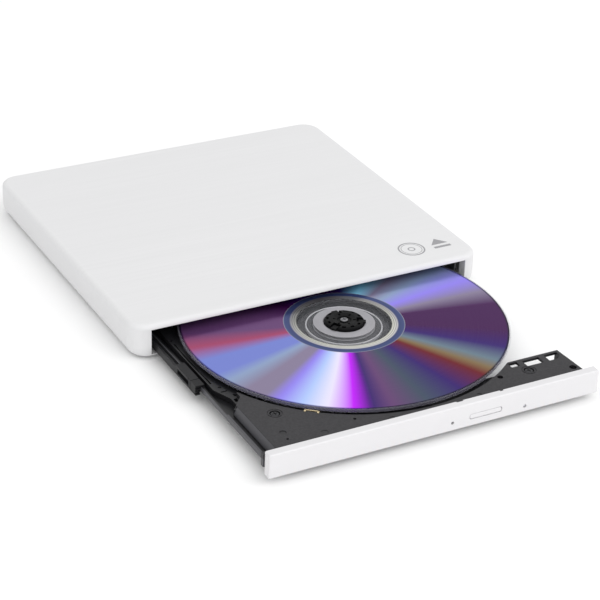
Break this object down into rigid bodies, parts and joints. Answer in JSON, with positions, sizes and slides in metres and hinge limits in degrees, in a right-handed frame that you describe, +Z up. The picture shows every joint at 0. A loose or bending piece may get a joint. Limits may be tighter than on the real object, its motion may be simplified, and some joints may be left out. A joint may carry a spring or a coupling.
{
  "type": "external optical drive",
  "caption": "Slim external optical drive: flat rounded case with a tray pulled out at the front, a disc on its sprung chuck, a bezel with an eject button, and sliding rails.",
  "frame": {"origin": "On the table, in the middle of the whole length with the tray out as modelled, and on the case's centre line.", "axes": "+X to the user's right when facing the bezel, +Y from the bezel to the back of the case, +Z up."},
  "size_m": [0.144, 0.2258, 0.014],
  "materials": {
    "case_white": "satin moulded plastic",
    "bezel_white": "gloss moulded plastic",
    "tray_black": "fine grain",
    "rubber_black": "matt",
    "sheet_steel": "zinc plated sheet",
    "dark_steel": "dark plated",
    "board_green": "solder resist",
    "chip_black": "matt",
    "brass": "satin",
    "disc_mirror": "mirror data side under clear plastic",
    "lens_clear": "clear",
    "ribbon_amber": "satin film"
  },
  "bodies": {
    "case": {"top_cover": "case_white", "bottom_cover": "case_white", "foot_front_left": "rubber_black", "foot_front_right": "rubber_black", "foot_back_left": "rubber_black", "foot_back_right": "rubber_black", "case_screw_front_left": "dark_steel", "case_screw_front_right": "dark_steel", "case_screw_back_left": "dark_steel", "case_screw_back_right": "dark_steel", "usb_bridge_board": "board_green", "usb_bridge_chip": "chip_black", "usb_socket": "sheet_steel", "data_connector": "chip_black", "drive_chassis": "sheet_steel", "drive_lid": "sheet_steel", "fixed_guide_left": "tray_black", "fixed_guide_right": "tray_black", "main_board": "board_green", "controller_chip": "chip_black", "ribbon_socket": "tray_black", "latch_post": "sheet_steel", "ribbon_lower": "ribbon_amber"},
    "tray": {"tray": "tray_black", "tray_under_cover": "sheet_steel", "tray_screw_front_left": "dark_steel", "tray_screw_front_right": "dark_steel", "tray_screw_back_left": "dark_steel", "bezel": "bezel_white", "lamp_lens": "lens_clear", "front_board": "board_green", "eject_switch": "sheet_steel", "latch_pin": "sheet_steel", "latch_magnet": "brass", "ribbon_upper": "ribbon_amber", "traverse_plate": "dark_steel", "damper_near_left": "rubber_black", "damper_near_right": "rubber_black", "damper_middle": "rubber_black", "guide_rod_left": "sheet_steel", "guide_rod_right": "sheet_steel", "sled_motor": "sheet_steel", "disc_edge_clip": "brass", "spindle_motor": "sheet_steel"},
    "rail_left": {"rail_left": "dark_steel", "rail_left_end_block": "tray_black"},
    "rail_right": {"rail_right": "dark_steel"},
    "ribbon_fold": {"ribbon_fold": "ribbon_amber"},
    "spindle": {"turntable": "tray_black", "chuck_screw": "sheet_steel", "disc": "disc_mirror"},
    "claw_1": {"chuck_claw_1": "tray_black"},
    "claw_2": {"chuck_claw_2": "tray_black"},
    "claw_3": {"chuck_claw_3": "tray_black"},
    "pickup": {"pickup_sled": "tray_black"},
    "lens": {"objective_lens": "lens_clear"},
    "lead_screw": {"lead_screw": "sheet_steel"},
    "eject_button": {"eject_button": "bezel_white"},
    "latch_lever": {"latch_lever": "tray_black"},
    "latch_plunger": {"latch_plunger": "sheet_steel"}
  },
  "joints": [
    {"name": "tray_slide", "type": "slide", "parent": "case", "child": "tray", "axis": [0, -1, 0], "range_m": [-0.0884, 0.0416]},
    {"name": "rail_left_slide", "type": "slide", "parent": "case", "child": "rail_left", "axis": [0, -1, 0], "range_m": [-0.0442, 0.0208]},
    {"name": "rail_right_slide", "type": "slide", "parent": "case", "child": "rail_right", "axis": [0, -1, 0], "range_m": [-0.0442, 0.0208]},
    {"name": "ribbon_fold_slide", "type": "slide", "parent": "case", "child": "ribbon_fold", "axis": [0, -1, 0], "range_m": [-0.0442, 0.0208]},
    {"name": "spindle_spin", "type": "hinge", "parent": "tray", "child": "spindle", "pos_m": [0.0025, -0.04255, 0.0075], "axis": [0, 0, 1], "continuous": true},
    {"name": "chuck_claw_1_slide", "type": "slide", "parent": "spindle", "child": "claw_1", "axis": [0, 1, 0], "range_m": [-0.0008, 0], "stiffness_N_per_m": 800},
    {"name": "chuck_claw_2_slide", "type": "slide", "parent": "spindle", "child": "claw_2", "axis": [-0.866, -0.5, 0], "range_m": [-0.0008, 0], "stiffness_N_per_m": 800},
    {"name": "chuck_claw_3_slide", "type": "slide", "parent": "spindle", "child": "claw_3", "axis": [0.866, -0.5, 0], "range_m": [-0.0008, 0], "stiffness_N_per_m": 800},
    {"name": "pickup_slide", "type": "slide", "parent": "tray", "child": "pickup", "axis": [-0.7071, -0.7071, 0], "range_m": [-0.002, 0.032]},
    {"name": "lead_screw_spin", "type": "hinge", "parent": "tray", "child": "lead_screw", "pos_m": [-0.03703, -0.061, 0.005], "axis": [-0.7071, -0.7071, 0], "range_deg": [-245, 3845]},
    {"name": "focus_slide", "type": "slide", "parent": "pickup", "child": "lens", "axis": [0, 0, 1], "range_m": [-0.0004, 0.0004], "stiffness_N_per_m": 60},
    {"name": "eject_button_push", "type": "slide", "parent": "tray", "child": "eject_button", "axis": [0, 1, 0], "range_m": [0, 0.0006], "stiffness_N_per_m": 1500},
    {"name": "latch_plunger_slide", "type": "slide", "parent": "tray", "child": "latch_plunger", "axis": [1, 0, 0], "range_m": [0, 0.0004], "stiffness_N_per_m": 100},
    {"name": "latch_lever_swing", "type": "hinge", "parent": "tray", "child": "latch_lever", "pos_m": [0.0398, -0.10595, 0.0059], "axis": [0, 0, 1], "range_deg": [-12.1, 0]}
  ],
  "couplings": [
    {"joint": "rail_left_slide", "follows": "tray_slide", "ratio": 0.5},
    {"joint": "rail_right_slide", "follows": "tray_slide", "ratio": 0.5},
    {"joint": "ribbon_fold_slide", "follows": "tray_slide", "ratio": 0.5},
    {"joint": "lead_screw_spin", "follows": "pickup_slide", "rad_per_m": 2094.4},
    {"joint": "latch_lever_swing", "follows": "latch_plunger_slide", "rad_per_m": -523.6}
  ]
}
